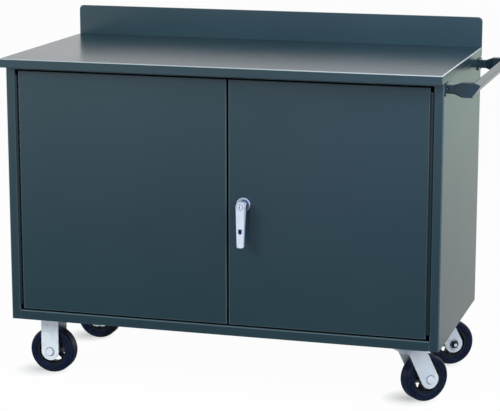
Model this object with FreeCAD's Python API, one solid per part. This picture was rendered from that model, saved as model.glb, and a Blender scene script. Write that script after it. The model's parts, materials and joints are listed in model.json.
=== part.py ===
"""Mobile industrial workbench: a folded steel bench cabinet with two doors, a push handle and casters.

The frame has +X along the bench towards the push handle, +Y to the back and +Z up.
The origin lies on the floor, below the middle of the overall plan.  Lengths are in millimetres.
"""
import FreeCAD, Part
import math
import os

V = FreeCAD.Vector

# Overall sizes
bench_width = 1219.0
bench_depth = 610.0
cabinet_height = 740.0  # underside of the cabinet to the work surface
caster_headroom = 44.0  # top of a wheel to the underside of the cabinet

# Clearances
overrun = 5.0  # how far a cutting shape runs past the face that it opens
running_gap = 0.05  # radial gap of a turning fit
nested_gap = 0.05  # radial gap of round pieces fixed inside one another
side_gap = 0.5  # gap beside a turning face
seat_gap = 0.3  # gap between pieces that part when something moves

# Fasteners
nut_sides = 6

# Worktop and backsplash
worktop_sheet = 3.0
worktop_lip = 24.5
worktop_return = 15.0
worktop_edge_radius = 3.0
splash_height = 85.0
splash_sheet = 3.0
splash_corner_radius = 12.7
splash_edge_radius = 1.0
top_hat_width = 60.0
top_hat_brim = 18.0
top_hat_sheet = 1.5
top_hat_bend = 2.0
top_hat_end_gap = 40.0
top_hat_places_share = (0.33, 0.67)

# Cabinet shell
front_overhang = 40.0
side_overhang = 2.0
body_sheet = 2.0
body_bend = 1.5
stile_width = 26.0
stile_return = 25.0
rail_height = 27.0
rail_return = 12.0
header_drop = 8.5  # header below the worktop's lip
header_flange = 20.0

# Shelf and its clips
shelf_sheet = 1.5
shelf_lip = 25.0
shelf_return = 12.0
shelf_bend = 2.0
shelf_end_gap = 1.0
shelf_front_inset = 60.0
shelf_back_gap = 12.0
shelf_height_share = 0.5
clip_sheet = 2.5
clip_bend = 1.5
clip_leg = 22.0
clip_width = 40.0
clip_inset = 70.0

# Doors
door_sheet = 1.5
door_depth = 25.0
door_lip = 12.0
door_edge_radius = 3.0
hinge_side_gap = 9.5
centre_gap = 5.6
door_top_gap = 4.0
door_bottom_gap = 4.5
door_split_offset = 26.0
door_hat_width = 90.0
door_hat_brim = 20.0
door_hat_depth = 17.0
door_hat_sheet = 1.2
door_hat_bend = 2.0
door_hat_end_gap = 45.0

# Continuous hinges
barrel_radius = 3.4
hinge_pin_radius = 1.8
leaf_sheet = 1.5
leaf_depth = 20.0
leaf_clearance = 0.4
knuckle_pitch = 12.7
knuckle_gap = 0.4
hinge_end_inset = 13.0

# Lock, lever and latch
lock_edge_inset = 43.0
rose_radius = 20.0
rose_thickness = 6.0
rose_dome_radius = 3.0
sleeve_radius = 12.0
sleeve_length = 8.0
shank_radius = 7.0
post_radius = 8.5
tang_radius = 5.0
lever_standoff = 38.0
lever_head_radius = 12.0
lever_head_depth = 18.0
lever_tail_depth = 10.0
lever_tail_width = 18.0
lever_tail_radius = 4.0
lever_length = 112.0  # head centre to the tail's end
lever_edge_radius = 2.0
lever_pad_drop = 27.0
lever_pad_step = 1.5
lever_slot_drop = 68.0
lever_slot_width = 10.0
lever_slot_height = 14.0
lever_slot_depth = 4.0
plug_radius = 8.0
plug_depth = 14.0
plug_proud = 1.0
key_slot_width = 2.0
key_slot_height = 9.0
key_slot_depth = 6.0
cam_sheet = 4.0
cam_end_radius = 7.0
cam_hub_radius = 12.0
cam_pin_orbit = 18.0
cam_pin_radius = 2.5
cam_rest_angle = 45.0  # the drive pins swing this far each side of level
cam_screw_radius = 5.5
cam_screw_head = 3.5
rod_sheet = 4.0
rod_width = 18.0
rod_play = 2.0  # between the cam's face and the rods
rod_foot = 8.0
rod_tip_inset = 9.0
slot_clearance = 0.85
rod_slot_gap = 1.0
guide_height = 24.0
guide_wall = 4.0
guide_inset = 46.0

# Catch of the left door
catch_width = 44.0
catch_depth = 13.0
catch_height = 18.0
catch_arm_sheet = 2.0
catch_arm_bend = 1.5
catch_arm_drop = 3.0
catch_inset = 30.0
strike_sheet = 1.0

# Push handle
handle_reach = 89.0
handle_clearance = 41.0  # panel to the bracket heads
grip_clearance = 70.5  # panel to the grip
handle_height = 38.5
handle_drop = 18.5  # handle centre below the worktop's lip
handle_inset = 30.0  # bracket centre from the panel's front and back edges
head_edge_radius = 1.5
grip_height = 32.0
grip_top = 4.5
grip_foot = 2.5
grip_ridge = 5.0
grip_ridge_drop = 7.5
grip_corner_radius = 1.2
bracket_length = 24.0
bracket_flange_sheet = 4.0
bracket_flange_length = 56.0
bracket_flange_gap = 1.5  # flange below the lip
bracket_flange_radius = 11.0
neck_height = 23.0
neck_thickness = 14.0
neck_waist_share = 0.45
neck_corner_radius = 4.0
handle_screw_radius = 3.0
handle_screw_head_radius = 5.5
handle_screw_head = 3.5
handle_screw_spacing = 36.0
handle_nut = 3.0

# Wheels
wheel_diameter = 130.0
tread_width = 42.0
tyre_shoulder = 8.0
tyre_wall = 21.0
tyre_seat_width = 36.0
tyre_wall_draft = 3.0
tyre_groove_inset = 11.0
tyre_groove = 1.0
rim_thickness = 6.0
web_thickness = 14.0
hub_radius = 14.0
hub_length = 56.0
core_spokes = 5
core_spoke_width = 9.0
core_window_margin = 2.5
core_window_radius = 4.0
axle_radius = 6.35
axle_head_radius = 10.5
axle_head = 6.0
axle_head_edge = 2.0
axle_nut_radius = 11.0
axle_nut = 9.0
axle_end = 4.0

# Caster frames
leg_sheet = 5.0
leg_bend = 4.0
leg_end_radius = 25.5
plate_length = 114.0
plate_width = 102.0
plate_sheet = 6.0
plate_corner_radius = 8.0
bolt_spacing_x = 92.0
bolt_spacing_y = 67.0
bolt_radius = 4.75
bolt_head_radius = 10.0
bolt_head = 2.5
bolt_nut_radius = 8.0
bolt_nut = 7.0
rigid_side_inset = 85.0
swivel_side_inset = 92.0
caster_depth_inset = 98.0
swivel_trail = 41.0
crown_lip = 13.5
crown_lip_drop = 5.5
swivel_lead_share = 0.72  # leading top corner of the leg, as a share of the trail
swivel_tail_share = 0.62  # trailing top corner of the leg, as a share of the trail
race_outer_radius = 31.0
race_inner_radius = 20.0
race_height = 15.0
race_groove = 1.5
kingpin_radius = 8.0
kingpin_nut_radius = 14.0
kingpin_nut = 7.0
swivel_front_yaw = 43.0
swivel_rear_yaw = 32.0

# Planes and places that follow from the sizes
caster_height = wheel_diameter + caster_headroom
slab_left = -(bench_width + handle_reach - side_overhang) / 2
slab_right = slab_left + bench_width
slab_front = -bench_depth / 2
splash_back = bench_depth / 2
bench_back = splash_back - splash_sheet
work_surface = caster_height + cabinet_height
cabinet_left = slab_left + side_overhang
cabinet_right = slab_right - side_overhang
cabinet_front = slab_front + front_overhang
cabinet_bottom = caster_height
cabinet_top = work_surface - worktop_lip
middle_x = (slab_left + slab_right) / 2
jamb_left = cabinet_left + stile_width
jamb_right = cabinet_right - stile_width
floor_top = cabinet_bottom + body_sheet
rail_top = cabinet_bottom + rail_height
header_bottom = cabinet_top - header_drop
door_bottom = rail_top + door_bottom_gap
door_top = header_bottom - door_top_gap
door_split = middle_x + door_split_offset
door_back = cabinet_front + door_depth
door_inside = cabinet_front + door_sheet
left_door_edge = jamb_left + hinge_side_gap
right_door_edge = jamb_right - hinge_side_gap
left_free_edge = door_split - centre_gap / 2
right_free_edge = door_split + centre_gap / 2
hinge_bottom = door_bottom + hinge_end_inset
hinge_top = door_top - hinge_end_inset
hinge_axis_x = jamb_left + leaf_clearance + barrel_radius
hinge_axis_y = cabinet_front
lock_x = right_free_edge + lock_edge_inset
lock_z = (door_bottom + door_top) / 2
lever_face = cabinet_front - lever_standoff
lever_back = lever_face + lever_head_depth
cam_front = cabinet_front + sleeve_length + side_gap
cam_back = cam_front + cam_sheet
rod_front = cam_back + rod_play
rod_back = rod_front + rod_sheet
wheel_radius = wheel_diameter / 2
tyre_bore_radius = wheel_radius - tyre_wall
leg_inner = hub_length / 2 + side_gap
leg_outer = leg_inner + leg_sheet
plate_bottom = caster_height - plate_sheet
crown_top = plate_bottom - race_height - seat_gap
handle_z = cabinet_top - handle_drop
handle_front_y = cabinet_front + handle_inset
handle_rear_y = bench_back - handle_inset
caster_front_y = cabinet_front + caster_depth_inset
caster_rear_y = bench_back - caster_depth_inset


def box(x0, x1, y0, y1, z0, z1):
    """Box between two opposite corners."""
    return Part.makeBox(x1 - x0, y1 - y0, z1 - z0, V(x0, y0, z0))


def outline(segments, extrusion):
    """Solid from a closed row of segments, two points for a line and three for an arc."""
    edges = []
    for points in segments:
        if len(points) == 2:
            edges.append(Part.LineSegment(*points).toShape())
        else:
            edges.append(Part.Arc(*points).toShape())
    return Part.Face(Part.Wire(edges)).extrude(extrusion)


def polygon(points, extrusion):
    """Solid from a closed row of corners."""
    return outline(list(zip(points, points[1:] + points[:1])), extrusion)


def turned(points, base, axis):
    """Solid turned about an axis, from a closed row of (radius, height) corners."""
    corners = [V(radius, 0, height) for radius, height in points]
    face = Part.Face(Part.makePolygon(corners + corners[:1]))
    solid = face.revolve(V(0, 0, 0), V(0, 0, 1), 360)
    solid.Placement = FreeCAD.Placement(base, FreeCAD.Rotation(V(0, 0, 1), axis))
    return solid


def rod(radius, start, end):
    """Round bar between two points."""
    return Part.makeCylinder(radius, (end - start).Length, start, end - start)


def rounded(shape, radius, chosen):
    """Shape with the edges that chosen accepts rounded off."""
    return shape.makeFillet(radius, [edge for edge in shape.Edges if chosen(edge)])


def lies_along(edge, axis):
    """True for a straight edge along an axis."""
    if not isinstance(edge.Curve, Part.Line):
        return False
    return abs(abs(edge.Curve.Direction.dot(axis)) - 1) < Part.Precision.angular() ** 0.5


def on_plane(edge, axis, place):
    """True for an edge whose whole length lies on a plane square to an axis."""
    close = Part.Precision.approximation()
    return all(abs(vertex.Point.dot(axis) - place) < close for vertex in edge.Vertexes)


def mirrored(shape):
    """Shape reflected across the middle of the bench."""
    return shape.mirror(V(middle_x, 0, 0), V(1, 0, 0))


def bent_sheet(path, sheet, bend, place, extrusion):
    """Folded sheet whose outer line is path and whose thickness lies to the left of it.

    bend is the inner radius of every fold, and place maps the path's two coordinates to the frame.
    """
    corners = [V(u, v, 0) for u, v in path]
    headings = [(end - start).normalize() for start, end in zip(corners, corners[1:])]
    lefts = [V(-heading.y, heading.x, 0) for heading in headings]

    def face_line(offset):
        here = corners[0] + lefts[0] * offset
        segments = []
        for before, after in zip(range(len(lefts) - 1), range(1, len(lefts))):
            turn = headings[before].cross(headings[after]).z
            half_turn = math.atan2(abs(turn), headings[before].dot(headings[after])) / 2
            spread = 1 + lefts[before].dot(lefts[after])
            fold = corners[after] + (lefts[before] + lefts[after]) * (offset / spread)
            radius = bend + (sheet - offset if turn > 0 else offset)
            reach = radius * math.tan(half_turn)
            start = fold - headings[before] * reach
            end = fold + headings[after] * reach
            centre = start + lefts[before] * math.copysign(radius, turn)
            middle = centre + (fold - centre).normalize() * radius
            segments += [(here, start), (start, middle, end)]
            here = end
        segments.append((here, corners[-1] + lefts[-1] * offset))
        return segments

    outer = face_line(0)
    inner = face_line(sheet)
    back = [tuple(reversed(segment)) for segment in reversed(inner)]
    loop = outer + [(outer[-1][-1], inner[-1][-1])] + back + [(inner[0][0], outer[0][0])]
    placed = [tuple(place(point.x, point.y) for point in segment) for segment in loop]
    return outline(placed, extrusion)


def tangent_point(point, centre, radius, side):
    """Where a line from an outer point touches a circle, on the chosen side."""
    away = point - centre
    swing = math.acos(radius / away.Length)
    angle = math.atan2(away.y, away.x) + side * swing
    return centre + V(math.cos(angle), math.sin(angle), 0) * radius


def tapered_arm(first, second, centre, radius, place, extrusion):
    """Flat arm with a straight end from first to second and a round end about centre."""
    touch_first = tangent_point(first, centre, radius, 1)
    touch_second = tangent_point(second, centre, radius, -1)
    far = centre + (centre - (first + second) * 0.5).normalize() * radius
    loop = [(first, second), (second, touch_second), (touch_second, far, touch_first), (touch_first, first)]
    placed = [tuple(place(point.x, point.y) for point in segment) for segment in loop]
    return outline(placed, extrusion)


def hexagon(radius, base, axis, height):
    """Hexagonal nut blank."""
    turns = [2 * math.pi * i / nut_sides for i in range(nut_sides)]
    corners = [V(math.cos(turn), math.sin(turn), 0) * radius for turn in turns]
    blank = polygon(corners, V(0, 0, height))
    blank.Placement = FreeCAD.Placement(base, FreeCAD.Rotation(V(0, 0, 1), axis))
    return blank


def hat_channel(width, brim, depth, sheet, bend, place, extrusion):
    """Hat stiffener: two brims on the carrying sheet and a raised crown between them."""
    half = width / 2
    path = [
        (-half, sheet),
        (brim - half, sheet),
        (brim - half, depth),
        (half - brim, depth),
        (half - brim, sheet),
        (half, sheet),
    ]
    return bent_sheet(list(reversed(path)), sheet, bend, place, extrusion)


def worktop():
    """Folded top: sheet, a lip on every side and an inward return below the lips."""
    top = box(slab_left, slab_right, slab_front, bench_back, cabinet_top, work_surface)
    rear = V(0, 1, 0)
    up = V(0, 0, 1)
    top = rounded(
        top,
        worktop_edge_radius,
        lambda edge: on_plane(edge, up, work_surface) and not on_plane(edge, rear, bench_back),
    )
    hollow = box(
        slab_left + worktop_sheet,
        slab_right - worktop_sheet,
        slab_front + worktop_sheet,
        bench_back - worktop_sheet,
        cabinet_top + worktop_sheet,
        work_surface - worktop_sheet,
    )
    mouth = box(
        slab_left + worktop_return,
        slab_right - worktop_return,
        slab_front + worktop_return,
        bench_back - worktop_return,
        cabinet_top - overrun,
        work_surface - worktop_sheet,
    )
    return top.cut(hollow).cut(mouth)


def worktop_stiffeners():
    """Two hat channels along the underside of the worktop."""
    depth = worktop_lip - worktop_sheet
    length = bench_width - 2 * top_hat_end_gap
    hats = []
    for share in top_hat_places_share:
        y = slab_front + share * (bench_back - slab_front)
        hats.append(
            hat_channel(
                top_hat_width,
                top_hat_brim,
                depth,
                top_hat_sheet,
                top_hat_bend,
                lambda u, v: V(slab_left + top_hat_end_gap, y + u, work_surface - worktop_sheet - v),
                V(length, 0, 0),
            )
        )
    return Part.makeCompound(hats)


def backsplash():
    """Upright plate behind the worktop, rounded at its upper corners and eased along its edge."""
    top = work_surface + splash_height
    plate = box(slab_left, slab_right, bench_back, splash_back, cabinet_top, top)
    plate = rounded(
        plate,
        splash_corner_radius,
        lambda edge: lies_along(edge, V(0, 1, 0)) and on_plane(edge, V(0, 0, 1), top),
    )
    return rounded(
        plate,
        splash_edge_radius,
        lambda edge: on_plane(edge, V(0, 1, 0), bench_back)
        and max(vertex.Z for vertex in edge.Vertexes) > work_surface,
    )


def side_panel():
    """Left side: one sheet folded round the front as a stile, whose return runs between the rails."""
    path = [
        (cabinet_left, bench_back - body_sheet),
        (cabinet_left, cabinet_front),
        (jamb_left, cabinet_front),
        (jamb_left, cabinet_front + stile_return),
    ]
    height = V(0, 0, cabinet_top - cabinet_bottom)
    panel = bent_sheet(path, body_sheet, body_bend, lambda u, v: V(u, v, cabinet_bottom), height)
    fold = jamb_left - body_sheet - body_bend
    behind = cabinet_front + stile_return + overrun
    for low, high in ((cabinet_bottom, rail_top), (header_bottom, cabinet_top)):
        panel = panel.cut(box(fold, jamb_left + overrun, cabinet_front - overrun, behind, low, high))
        panel = panel.fuse(box(fold, jamb_left, cabinet_front, cabinet_front + body_sheet, low, high))
    return panel.removeSplitter()


def right_side_panel():
    """Right side with the holes of the push handle's screws."""
    panel = mirrored(side_panel())
    for start in handle_screw_places():
        hole = rod(handle_screw_radius + nested_gap, start - V(overrun, 0, 0), start + V(overrun, 0, 0))
        panel = panel.cut(hole)
    return panel


def back_panel():
    """Flat sheet over the rear edges of the sides."""
    front = bench_back - body_sheet
    return box(cabinet_left, cabinet_right, front, bench_back, cabinet_bottom, cabinet_top)


def caster_places():
    """Caster centres, two rigid ones on the left and two swivels on the right."""
    left = cabinet_left + rigid_side_inset
    right = cabinet_right - swivel_side_inset
    return [(left, caster_front_y), (left, caster_rear_y), (right, caster_front_y), (right, caster_rear_y)]


def bolt_places():
    """Bolt centres of all the caster plates."""
    places = []
    for x, y in caster_places():
        for along in (-1, 1):
            for across in (-1, 1):
                places.append((x + along * bolt_spacing_x / 2, y + across * bolt_spacing_y / 2))
    return places


def floor_panel():
    """Cabinet floor between the walls, holed for the caster bolts."""
    panel = box(
        cabinet_left + body_sheet,
        cabinet_right - body_sheet,
        cabinet_front + body_sheet,
        bench_back - body_sheet,
        cabinet_bottom,
        floor_top,
    )
    panel = rounded(panel, body_sheet + body_bend, lambda edge: lies_along(edge, V(0, 0, 1)))
    for x, y in bolt_places():
        foot = V(x, y, cabinet_bottom - overrun)
        panel = panel.cut(rod(bolt_radius + nested_gap, foot, V(x, y, floor_top + overrun)))
    return panel


def front_rail():
    """Rail below the doors, turned back along its top."""
    path = [
        (cabinet_front + rail_return, rail_top),
        (cabinet_front, rail_top),
        (cabinet_front, cabinet_bottom),
    ]
    across = V(jamb_right - jamb_left, 0, 0)
    return bent_sheet(path, body_sheet, body_bend, lambda u, v: V(jamb_left, u, v), across)


def header_rail():
    """Rail above the doors, turned forward under the worktop."""
    under = work_surface - worktop_sheet
    path = [
        (cabinet_front + body_sheet, header_bottom),
        (cabinet_front + body_sheet, under),
        (cabinet_front - header_flange, under),
    ]
    across = V(jamb_right - jamb_left, 0, 0)
    return bent_sheet(path, body_sheet, body_bend, lambda u, v: V(jamb_left, u, v), across)


def shelf_underside():
    """Height of the shelf sheet's underside."""
    return floor_top + shelf_height_share * (cabinet_top - floor_top)


def shelf():
    """Folded shelf with a lip and return at the front and back."""
    front = cabinet_front + shelf_front_inset
    back = bench_back - shelf_back_gap
    top = shelf_underside() + shelf_sheet
    path = [
        (front + shelf_return, top - shelf_lip),
        (front, top - shelf_lip),
        (front, top),
        (back, top),
        (back, top - shelf_lip),
        (back - shelf_return, top - shelf_lip),
    ]
    left = cabinet_left + body_sheet + shelf_end_gap
    right = cabinet_right - body_sheet - shelf_end_gap
    place = lambda u, v: V(left, u, v)
    return bent_sheet(list(reversed(path)), shelf_sheet, shelf_bend, place, V(right - left, 0, 0))


def shelf_clips():
    """Four angle clips on the side walls that carry the shelf's ends."""
    wall = cabinet_left + body_sheet
    under = shelf_underside()
    front = cabinet_front + shelf_front_inset + clip_inset
    back = bench_back - shelf_back_gap - clip_inset - clip_width
    clips = []
    for y in (front, back):
        path = [(wall, under - clip_leg), (wall, under), (wall + clip_leg, under)]
        place = lambda u, v: V(u, y, v)
        clip = bent_sheet(list(reversed(path)), clip_sheet, clip_bend, place, V(0, clip_width, 0))
        clips += [clip, mirrored(clip)]
    return Part.makeCompound(clips)


def door_pan(left, right):
    """Flush door: a skin folded back on four sides, with a narrow lip turned in behind."""
    pan = box(left, right, cabinet_front, door_back, door_bottom, door_top)
    pan = rounded(pan, door_edge_radius, lambda edge: on_plane(edge, V(0, 1, 0), cabinet_front))
    hollow = box(
        left + door_sheet,
        right - door_sheet,
        door_inside,
        door_back - door_sheet,
        door_bottom + door_sheet,
        door_top - door_sheet,
    )
    mouth = box(
        left + door_lip,
        right - door_lip,
        door_inside,
        door_back + overrun,
        door_bottom + door_lip,
        door_top - door_lip,
    )
    return pan.cut(hollow).cut(mouth)


def rod_centres():
    """X places of the upper and the lower latch rod, one on each side of the lock."""
    reach = cam_pin_orbit * (1 + math.cos(math.radians(cam_rest_angle))) / 2
    return lock_x + reach, lock_x - reach


def right_door_pan():
    """Right door with the lock's hole and a slot above and below for the latch rods."""
    pan = door_pan(right_free_edge, right_door_edge)
    start = on_lock(cabinet_front - overrun)
    pan = pan.cut(rod(sleeve_radius + nested_gap, start, on_lock(door_inside + overrun)))
    half = rod_width / 2 + rod_slot_gap
    for x, edge in zip(rod_centres(), (door_top, door_bottom)):
        slot = box(
            x - half,
            x + half,
            rod_front - rod_slot_gap,
            rod_back + rod_slot_gap,
            edge - door_lip / 2,
            edge + door_lip / 2,
        )
        pan = pan.cut(slot)
    return pan


def door_stiffener(left, right):
    """Vertical hat channel on the back of a door's skin."""
    middle = (left + right) / 2
    bottom = door_bottom + door_hat_end_gap
    return hat_channel(
        door_hat_width,
        door_hat_brim,
        door_hat_depth,
        door_hat_sheet,
        door_hat_bend,
        lambda u, v: V(middle - u, door_inside + v, bottom),
        V(0, 0, door_top - door_hat_end_gap - bottom),
    )


def knuckle_spans(first):
    """Heights of every second knuckle, from the chosen one on."""
    count = 2 * round((hinge_top - hinge_bottom) / knuckle_pitch / 2) + 1
    pitch = (hinge_top - hinge_bottom) / count
    spans = []
    for i in range(first, count, 2):
        low = hinge_bottom + i * pitch
        spans.append((low + knuckle_gap / 2, low + pitch - knuckle_gap / 2))
    return spans


def knuckle(low, high):
    """Hinge barrel between two heights."""
    foot = V(hinge_axis_x, hinge_axis_y, low)
    head = V(hinge_axis_x, hinge_axis_y, high)
    return rod(barrel_radius, foot, head)


def bored(leaf):
    """Hinge leaf with the pin's hole through its knuckles."""
    foot = V(hinge_axis_x, hinge_axis_y, hinge_bottom - overrun)
    head = V(hinge_axis_x, hinge_axis_y, hinge_top + overrun)
    return leaf.cut(rod(hinge_pin_radius + running_gap, foot, head))


def hinge_frame_leaf():
    """Left frame leaf: strip on the stile's return, with every second knuckle."""
    clear = hinge_axis_y + barrel_radius + leaf_clearance
    edge = jamb_left + leaf_sheet
    leaf = box(jamb_left, edge, clear, hinge_axis_y + leaf_depth, hinge_bottom, hinge_top)
    pieces = []
    for low, high in knuckle_spans(0):
        pieces += [knuckle(low, high), box(jamb_left, edge, hinge_axis_y, clear, low, high)]
    return bored(leaf.fuse(pieces).removeSplitter())


def hinge_door_leaf():
    """Left door leaf: strip on the door's edge, stepped in to the other knuckles."""
    face = left_door_edge
    step = hinge_axis_y + barrel_radius - leaf_sheet
    clear = hinge_axis_y + barrel_radius + leaf_clearance
    leaf = box(face - leaf_sheet, face, clear, hinge_axis_y + leaf_depth, hinge_bottom, hinge_top)
    pieces = []
    for low, high in knuckle_spans(1):
        pieces.append(knuckle(low, high))
        pieces.append(box(hinge_axis_x, face, step, step + leaf_sheet, low, high))
        pieces.append(box(face - leaf_sheet, face, step, clear, low, high))
    return bored(leaf.fuse(pieces).removeSplitter())


def hinge_pins():
    """The two hinge pins."""
    foot = V(hinge_axis_x, hinge_axis_y, hinge_bottom)
    head = V(hinge_axis_x, hinge_axis_y, hinge_top)
    pin = rod(hinge_pin_radius, foot, head)
    return Part.makeCompound([pin, mirrored(pin)])


def on_lock(y):
    """Point of the lock's axis."""
    return V(lock_x, y, lock_z)


def lock_rose():
    """Domed round plate on the door with a sleeve through the skin."""
    front = cabinet_front - rose_thickness
    plate = rounded(
        rod(rose_radius, on_lock(front), on_lock(cabinet_front)),
        rose_dome_radius,
        lambda edge: on_plane(edge, V(0, 1, 0), front),
    )
    inside = cabinet_front + sleeve_length
    sleeve = rod(sleeve_radius, on_lock(cabinet_front), on_lock(inside))
    bore = rod(shank_radius + running_gap, on_lock(front - overrun), on_lock(inside + overrun))
    return plate.fuse(sleeve).cut(bore)


def lock_shank():
    """Turning post from the lever through the rose to the cam."""
    shoulder = cabinet_front - rose_thickness - side_gap
    post = rod(post_radius, on_lock(lever_back), on_lock(shoulder))
    shank = rod(shank_radius, on_lock(shoulder), on_lock(cam_front))
    tang = rod(tang_radius, on_lock(cam_front), on_lock(cam_back))
    return post.fuse([shank, tang])


def lock_lever():
    """Hanging lever: round head, tapered arm, raised pad round the key plug and a plain slot below it."""
    half = lever_tail_width / 2
    tail = lock_z - lever_length
    place = lambda u, v: V(u, lever_face, v)
    lever = tapered_arm(
        V(lock_x + half, tail, 0),
        V(lock_x - half, tail, 0),
        V(lock_x, lock_z, 0),
        lever_head_radius,
        place,
        V(0, lever_head_depth, 0),
    )
    lever = rounded(
        lever,
        lever_tail_radius,
        lambda edge: lies_along(edge, V(0, 1, 0)) and on_plane(edge, V(0, 0, 1), tail),
    )
    lever = rounded(lever, lever_edge_radius, lambda edge: on_plane(edge, V(0, 1, 0), lever_face))
    wide = lever_head_radius + overrun
    hollow = polygon(
        [
            V(lock_x - wide, lever_back + overrun, lock_z - lever_head_radius),
            V(lock_x - wide, lever_back, lock_z - lever_head_radius),
            V(lock_x - wide, lever_face + lever_tail_depth, tail),
            V(lock_x - wide, lever_face + lever_tail_depth, tail - overrun),
            V(lock_x - wide, lever_back + overrun, tail - overrun),
        ],
        V(2 * wide, 0, 0),
    )
    step = box(
        lock_x - wide,
        lock_x + wide,
        lever_face - overrun,
        lever_face + lever_pad_step,
        tail - overrun,
        lock_z - lever_pad_drop,
    )
    slot_top = lock_z - lever_slot_drop + lever_slot_height / 2
    slot_half = lever_slot_width / 2
    slot_floor = lever_face + lever_pad_step + lever_slot_depth
    round_z = slot_top - lever_slot_height + slot_half
    slot = box(lock_x - slot_half, lock_x + slot_half, lever_face, slot_floor, round_z, slot_top)
    slot_end = rod(slot_half, V(lock_x, lever_face, round_z), V(lock_x, slot_floor, round_z))
    plug_floor = lever_face + plug_depth + seat_gap
    plug_bore = rod(plug_radius + running_gap, on_lock(lever_face - overrun), on_lock(plug_floor))
    return lever.cut(hollow).cut(step).cut(slot.fuse(slot_end)).cut(plug_bore)


def lock_plug():
    """Key plug in the lever's head, with its key slot."""
    front = lever_face - plug_proud
    plug = rod(plug_radius, on_lock(front), on_lock(lever_face + plug_depth))
    half = key_slot_width / 2
    reach = key_slot_height / 2
    floor = front + key_slot_depth
    slot = box(lock_x - half, lock_x + half, front - overrun, floor, lock_z - reach, lock_z + reach)
    return plug.cut(slot)


def cam_pin_places():
    """Rest places of the drive pins of the upper and the lower rod, level offset and height."""
    angle = math.radians(cam_rest_angle)
    across = cam_pin_orbit * math.cos(angle)
    along = cam_pin_orbit * math.sin(angle)
    return (lock_x + across, lock_z - along), (lock_x - across, lock_z + along)


def latch_cam():
    """Two-armed cam on the shank, with a drive pin at each end."""
    disc = rod(cam_hub_radius, on_lock(cam_front), on_lock(cam_back))
    pieces = []
    for x, z in cam_pin_places():
        arm = V(x - lock_x, 0, z - lock_z).normalize()
        across = V(arm.z, 0, -arm.x) * cam_end_radius
        end = V(x, cam_front, z)
        root = on_lock(cam_front)
        corners = [root - across, end - across, end + across, root + across]
        pieces.append(polygon(corners, V(0, cam_sheet, 0)))
        pieces.append(rod(cam_end_radius, end, V(x, cam_back, z)))
        pieces.append(rod(cam_pin_radius, V(x, cam_back, z), V(x, rod_back + rod_play, z)))
    cam = disc.fuse(pieces).removeSplitter()
    return cam.cut(rod(tang_radius + nested_gap, on_lock(cam_front - overrun), on_lock(cam_back + overrun)))


def cam_screw():
    """Screw that holds the cam on the shank."""
    return hexagon(cam_screw_radius, on_lock(cam_back), V(0, 1, 0), cam_screw_head)


def latch_rod(centre, pin_z, foot, tip):
    """Flat rod with the cross slot of its drive pin."""
    half = rod_width / 2
    low = min(foot, tip)
    high = max(foot, tip)
    bar = box(centre - half, centre + half, rod_front, rod_back, low, high)
    play = cam_pin_radius + slot_clearance
    swing = cam_pin_orbit * (1 - math.cos(math.radians(cam_rest_angle))) / 2
    slot = box(
        centre - swing - play,
        centre + swing + play,
        rod_front - overrun,
        rod_back + overrun,
        pin_z - play,
        pin_z + play,
    )
    return bar.cut(slot)


def latch_rods():
    """Upper and lower latch rod at rest, both drawn in."""
    upper_x, lower_x = rod_centres()
    (_, upper_pin), (_, lower_pin) = cam_pin_places()
    upper = latch_rod(upper_x, upper_pin, upper_pin - rod_foot, door_top - rod_tip_inset)
    lower = latch_rod(lower_x, lower_pin, lower_pin + rod_foot, door_bottom + rod_tip_inset)
    return upper, lower


def rod_guides():
    """Guide block of each rod on the door's skin."""
    half = rod_width / 2
    blocks = []
    for x, z in zip(rod_centres(), (door_top - guide_inset, door_bottom + guide_inset)):
        low = z - guide_height / 2
        high = z + guide_height / 2
        outer = half + seat_gap + guide_wall
        block = box(x - outer, x + outer, door_inside, rod_back + seat_gap + rod_play, low, high)
        channel = box(
            x - half - seat_gap,
            x + half + seat_gap,
            rod_front - seat_gap,
            rod_back + seat_gap,
            low - overrun,
            high + overrun,
        )
        blocks.append(block.cut(channel))
    return Part.makeCompound(blocks)


def catch_span():
    """Left and right end of the left door's catch."""
    right = left_free_edge - catch_inset
    return right - catch_width, right


def door_catch():
    """Magnetic catch on an arm behind the header, over the left door's free corner."""
    left, right = catch_span()
    arm_z = header_bottom + catch_arm_drop
    face = door_back + strike_sheet + seat_gap
    wall = cabinet_front + body_sheet
    path = [(wall, cabinet_top), (wall, arm_z), (face + catch_depth, arm_z)]
    along = V(right - left, 0, 0)
    arm = bent_sheet(path, catch_arm_sheet, catch_arm_bend, lambda u, v: V(left, u, v), along)
    magnet = box(left, right, face, face + catch_depth, arm_z - catch_height, arm_z)
    return arm.fuse(magnet).removeSplitter()


def catch_strike():
    """Strike plate on the left door's upper lip, facing the catch."""
    left, right = catch_span()
    back = door_back + strike_sheet
    return box(left, right, door_back, back, door_top - door_lip, door_top - door_edge_radius)


def handle_grip():
    """Grip bar on the bracket heads: flat inside and drawn out to a ridge above its middle."""
    inner = cabinet_right + grip_clearance
    outer = cabinet_right + handle_reach
    front = handle_front_y - bracket_length / 2
    rear = handle_rear_y + bracket_length / 2
    high = handle_z + handle_height / 2
    low = high - grip_height
    corners = [
        V(inner, front, low),
        V(inner, front, high),
        V(inner + grip_top, front, high),
        V(outer, front, high - grip_ridge_drop + grip_ridge / 2),
        V(outer, front, high - grip_ridge_drop - grip_ridge / 2),
        V(inner + grip_foot, front, low),
    ]
    bar = polygon(corners, V(0, rear - front, 0))
    return rounded(bar, grip_corner_radius, lambda edge: lies_along(edge, V(0, 1, 0)))


def neck_section(x, height, thickness, y):
    """Closed wire of a bracket neck across X."""
    half_y = thickness / 2
    half_z = height / 2
    blank = box(x, x + overrun, y - half_y, y + half_y, handle_z - half_z, handle_z + half_z)
    blank = rounded(blank, neck_corner_radius, lambda edge: lies_along(edge, V(1, 0, 0)))
    return min(blank.Faces, key=lambda face: face.CenterOfMass.x).OuterWire


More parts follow.
